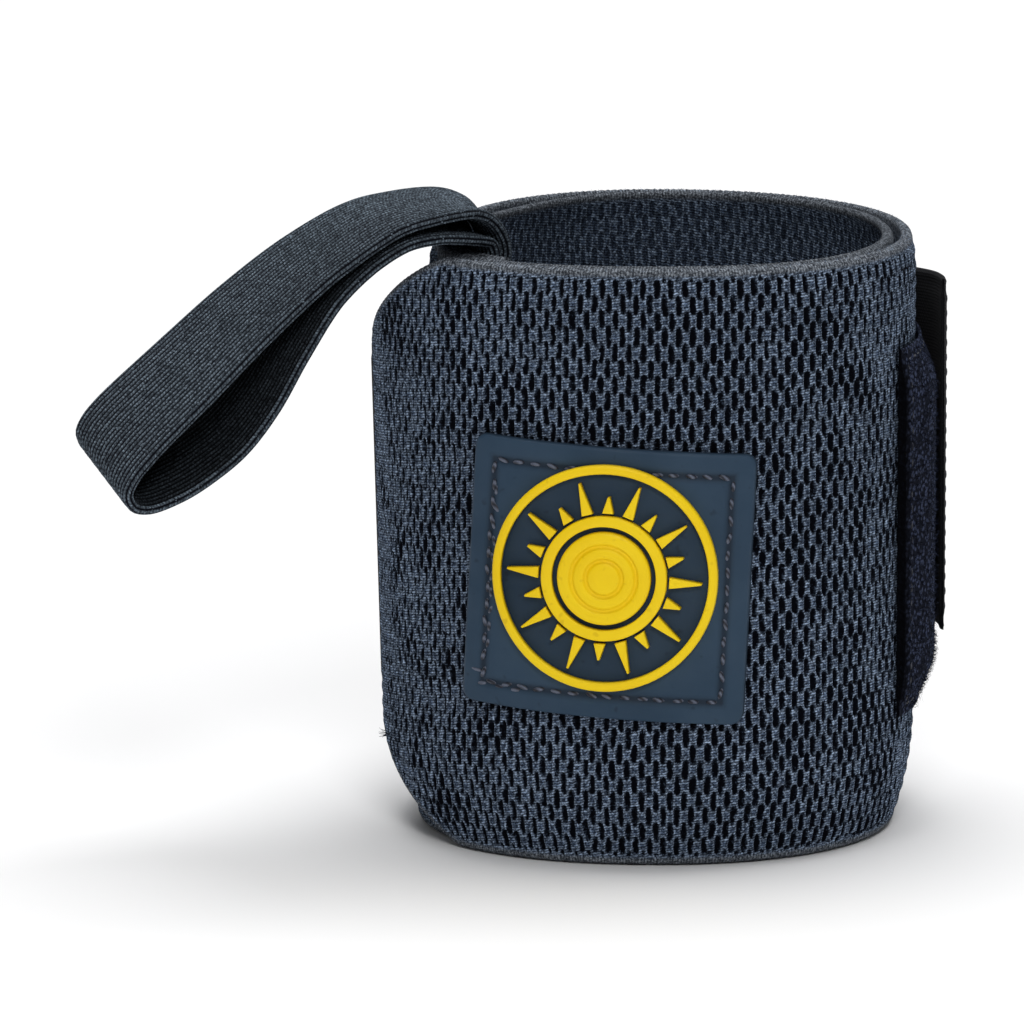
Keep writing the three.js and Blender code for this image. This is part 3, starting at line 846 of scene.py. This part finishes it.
labelThread = threadFinish("labelThread", (8, 11, 26), (88, 95, 112))
darkThread = threadFinish("darkThread", (10, 11, 16), (58, 62, 74))
stitchCover = 0.8  # share of each step that its thread shows


def seamStitches(lines, step):  # middle, direction and length of each stitch along straight lines
    found = []
    for (x0, y0), (x1, y1) in lines:
        length = math.hypot(x1 - x0, y1 - y0)
        heading = ((x1 - x0) / length, (y1 - y0) / length)
        count = max(1, round(length / step))
        for share in (np.arange(count) + 0.5) / count:
            found.append((mixed(x0, x1, share), mixed(y0, y1, share), *heading, length / count * stitchCover))
    return np.array(found)


def stitchPiece(name, stitches, material, place, wide, sunk, jitter=0.05):
    lean = chance.normal(0, jitter, (len(stitches), 3))

    def put(number, local):
        x, y, dx, dy, length = stitches[number].T
        dx, dy = dx - dy * lean[number, 0] * 2.5, dy + dx * lean[number, 0] * 2.5
        far, side = local[:, 0] * length, local[:, 1] * wide
        lift = local[:, 2] * wide * 1.1 - sunk + lean[number, 2] * 0.4 - (local[:, 0] * 2) ** 4 * wide * 0.5
        return place(x + lean[number, 1] + dx * far - dy * side, y + dy * far + dx * side, lift)

    return addPiece(copies(name, stitchShape(), len(stitches), put), material)


seam = label["seam"]
right, up = label["width"] / 2 - seam, label["height"] / 2 - seam
corners = [(-right, up), (right, up), (right, -up), (-right, -up)]
labelLines = list(zip(corners, corners[1:] + corners[:1]))
backTack = [
    ((-right + 6, -up - 0.55), (-right - 1.2, -up - 0.35)),
    ((-right + 0.6, -up + 4), (-right + 0.5, up - 3)),
    ((-right - 2.7, -up + 1.5), (-right + 0.2, -up + 1.2)),
]
stitchPiece(
    "label_stitches", seamStitches(labelLines + backTack, label["stitch"]), labelThread,
    lambda x, y, lift: onLabel(x, y, labelTop - 0.12 + lift), label["threadWide"], 0.1, 0.1,
)

strapLines = [((x, 2), (x, hookStrap["width"] - 2)) for x in (strapLength - 3, 3, 8)]
stitchPiece(
    "strap_stitches", seamStitches(strapLines, 2.0), darkThread,
    lambda x, y, lift: onStrap(x / strapLength, y, hookStrap["thickness"] / 2 + lift), 0.4, 0.05,
)

inset = 1.6
far, high = pilePatch["length"] - inset, pilePatch["width"] - inset
pileLines = [((inset, inset), (far, inset)), ((inset, high), (far, high)), ((far, inset), (far, high))]


def onPile(x, y, lift):
    margin, sweep = pileMargin(y), mixed(pileStart, pileEnd, x / pilePatch["length"])
    lift = lift - pilePatch["thickness"] * np.clip(pilePatch["hug"] * (1 - margin) ** 2, 0, 0.7)
    lift = lift + pileLoft(sweep, margin)
    height = roll["height"] / 2 + pilePatch["rise"] + y - pilePatch["width"] / 2
    return onRoll(sweep, height, pileOffset + pilePatch["thickness"] / 2 + lift)


stitchPiece("pile_stitches", seamStitches(pileLines, 2.1), darkThread, onPile, 0.36, 0.22)

legRows, legReach = (6, 8.5, 24, 26.5), 8.2  # two double rows across the leg
legLines = [((x, -legReach), (x, legReach)) for x in legRows]
stitchPiece(
    "leg_stitches", seamStitches(legLines, 1.9), darkThread,
    lambda x, y, lift: onLoop(x, y, -loop["thickness"] / 2 - lift), 0.36, 0.06,
)
print("wrist wrap: stitches sewn")


# Fuzz: short curved fibres
def fibreShape():
    bm = bmesh.new()
    bmesh.ops.create_cone(bm, segments=3, radius1=0.5, radius2=0.15, depth=1, cap_ends=True)
    bmesh.ops.translate(bm, verts=bm.verts, vec=(0, 0, 0.5))
    everything = bm.verts[:] + bm.edges[:] + bm.faces[:]
    bmesh.ops.bisect_plane(bm, geom=everything, plane_co=(0, 0, 0.5), plane_no=(0, 0, 1))
    return bm


def fuzzPiece(name, spots, surface, material, length, wide, lay):
    count = len(spots)
    tall = length * chance.uniform(0.55, 1.25, count)
    leanAlong, leanUp = chance.normal(0, lay, (2, count))

    def put(number, local):
        rise = local[:, 2]
        x = spots[number, 0] + local[:, 0] * wide + leanAlong[number] * tall[number] * rise**1.6
        y = spots[number, 1] + local[:, 1] * wide + leanUp[number] * tall[number] * rise**1.6
        return surface(x, y, tall[number] * rise * (1 - 0.35 * rise))

    return addPiece(copies(name, fibreShape(), count, put), material, smooth=False)


def strapLowAt(sweep):
    climbed = hookStrap["climb"] * (sweep - strapStart) / (strapEnd - strapStart)
    return (roll["height"] - hookStrap["width"]) / 2 + climbed


fuzz = dict(nap=9000, rim=700, loose=7, looseAngle=-84, looseHeight=11.9)
spots = chance.uniform((0.4, 0.4), (pilePatch["length"] - 0.4, pilePatch["width"] - 0.4), (fuzz["nap"], 2))
spotSweep = mixed(pileStart, pileEnd, spots[:, 0] / pilePatch["length"])
spotHeight = roll["height"] / 2 + pilePatch["rise"] + spots[:, 1] - pilePatch["width"] / 2
bare = (spotSweep + 360 > strapEnd + 1.2) | (spotHeight < strapLowAt(spotSweep + 360) - 0.8)
fuzzPiece("pile_nap", spots[bare], lambda x, y, lift: onPile(x, y, lift - 0.15), pile, 0.9, 0.1, 0.8)

rimArcs = chance.uniform(arcOf(innerBreak), arcOf(endSweep) - 30, fuzz["rim"])
rimSpots = np.stack([rimArcs, chance.uniform(-0.7, 0.7, fuzz["rim"])], -1)
fuzzPiece(
    "rim_fuzz", rimSpots, lambda x, y, lift: onRoll(sweepOf(x), roll["height"] - 0.1 - y**2 * 0.5 + lift, y),
    elastic, 0.5, 0.05, 0.9,
)
looseArcs = arcOf(sweepAt(fuzz["looseAngle"], roll["turns"])) + chance.normal(0, 0.25, fuzz["loose"])
looseSpots = np.stack([looseArcs, fuzz["looseHeight"] + chance.normal(0, 0.2, fuzz["loose"])], -1)
fuzzPiece(
    "loose_threads", looseSpots, lambda x, y, lift: onRoll(sweepOf(x), y, roll["thickness"] / 2 - 0.2 + lift),
    darkThread, 1.5, 0.16, 0.5,
)
print("wrist wrap: fuzz raised")

# Floor, lights and camera
floorMesh = bpy.data.meshes.new("floor")
floorGrid = bmesh.new()
bmesh.ops.create_grid(floorGrid, x_segments=2, y_segments=2, size=6)
bmesh.ops.translate(floorGrid, verts=floorGrid.verts, vec=(0, 0, -0.0002))
floorGrid.to_mesh(floorMesh)
floorGrid.free()
floor = bpy.data.objects.new("floor", floorMesh)
bpy.context.scene.collection.objects.link(floor)
paper = Finish("paper", roughness=0.9, specular=0.1)
paperTone = paper.blend(paper.noise(3.0), (0.86, 0.86, 0.87, 1), (0.9, 0.9, 0.9, 1))
floorMesh.materials.append(paper.finish(paperTone))

studio = dict(world=0.17, key=7.5, fill=0.2, top=80.0)
world = bpy.data.worlds.new("studio")
bpy.context.scene.world = world
world.use_nodes = True
background = world.node_tree.nodes["Background"]
background.inputs["Color"].default_value = (1, 1, 1, 1)
background.inputs["Strength"].default_value = studio["world"]


def softLight(name, power, place, aim, size):
    lamp = bpy.data.lights.new(name, "AREA")
    lamp.energy = power
    lamp.shape = "DISK"
    lamp.size = size
    light = bpy.data.objects.new(name, lamp)
    bpy.context.scene.collection.objects.link(light)
    light.location = place
    light.rotation_euler = (Vector(aim) - Vector(place)).to_track_quat("-Z", "Y").to_euler()


softLight("keyLight", studio["key"], (0.12, -1.2, 0.9), (0, 0, 0.05), 0.5)
softLight("fillLight", studio["fill"], (-0.7, -1.0, 0.35), (0, 0, 0.05), 0.7)
softLight("topLight", studio["top"], (0.1, 0.7, 2.6), (0, 0.4, 0), 2.6)

view = dict(elevation=11, distance=1.5, lens=392, aim=(0.0, 0.0, 0.0415))
camera = bpy.data.objects.new("camera", bpy.data.cameras.new("camera"))
bpy.context.scene.collection.objects.link(camera)
camera.data.lens = view["lens"]
camera.data.sensor_width = 36
elevation = view["elevation"] * degree
away = Vector((0, -math.cos(elevation), math.sin(elevation))) * view["distance"]
camera.location = Vector(view["aim"]) + away
camera.rotation_euler = (-away).to_track_quat("-Z", "Y").to_euler()
bpy.context.scene.camera = camera
bpy.context.scene.view_settings.view_transform = "Standard"
print("wrist wrap: studio set")
